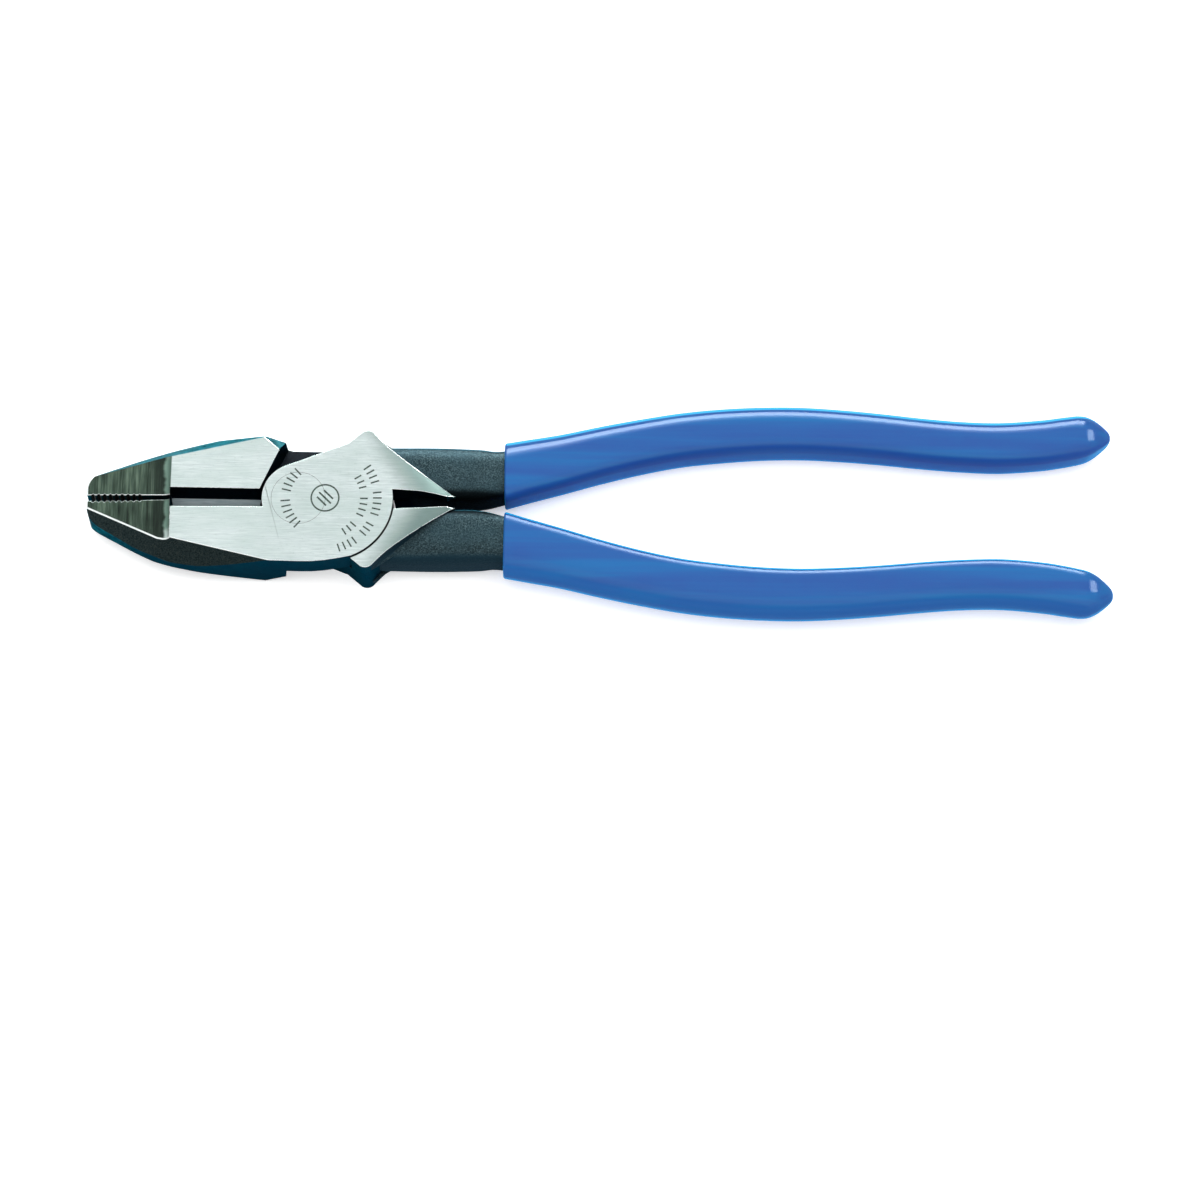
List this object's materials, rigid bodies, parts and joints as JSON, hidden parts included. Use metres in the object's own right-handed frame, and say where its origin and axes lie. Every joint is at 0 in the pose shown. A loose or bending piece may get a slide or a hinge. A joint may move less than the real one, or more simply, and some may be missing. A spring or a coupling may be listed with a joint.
{
  "type": "lineman pliers",
  "caption": "Side-cutting lineman pliers with a riveted lap joint, a grooved flat nose, knife edges beside the hub and long dipped plastic grips.",
  "frame": {"origin": "rivet axis at the back ground face, on the flush rivet head", "axes": "+X towards the handles, jaws along -X, +Z along the rivet axis out of the front face, +Y across the tool"},
  "size_m": [0.2376, 0.0514, 0.0159],
  "materials": {
    "forged_steel": "two flat faces ground bright along the tool, nose ground across, all other faces dark oxide forging skin",
    "rivet_steel": "flush head ground bright together with the head faces",
    "grip_vinyl": "smooth glossy blue dipped vinyl"
  },
  "bodies": {
    "front": {"front_half": "forged_steel", "front_grip": "grip_vinyl", "pivot_rivet": "rivet_steel"},
    "back": {"back_half": "forged_steel", "back_grip": "grip_vinyl"}
  },
  "joints": [
    {"name": "pivot", "type": "hinge", "parent": "front", "child": "back", "pos_m": [0, 0, 0], "axis": [0, 0, -1], "range_deg": [-1, 36]}
  ]
}
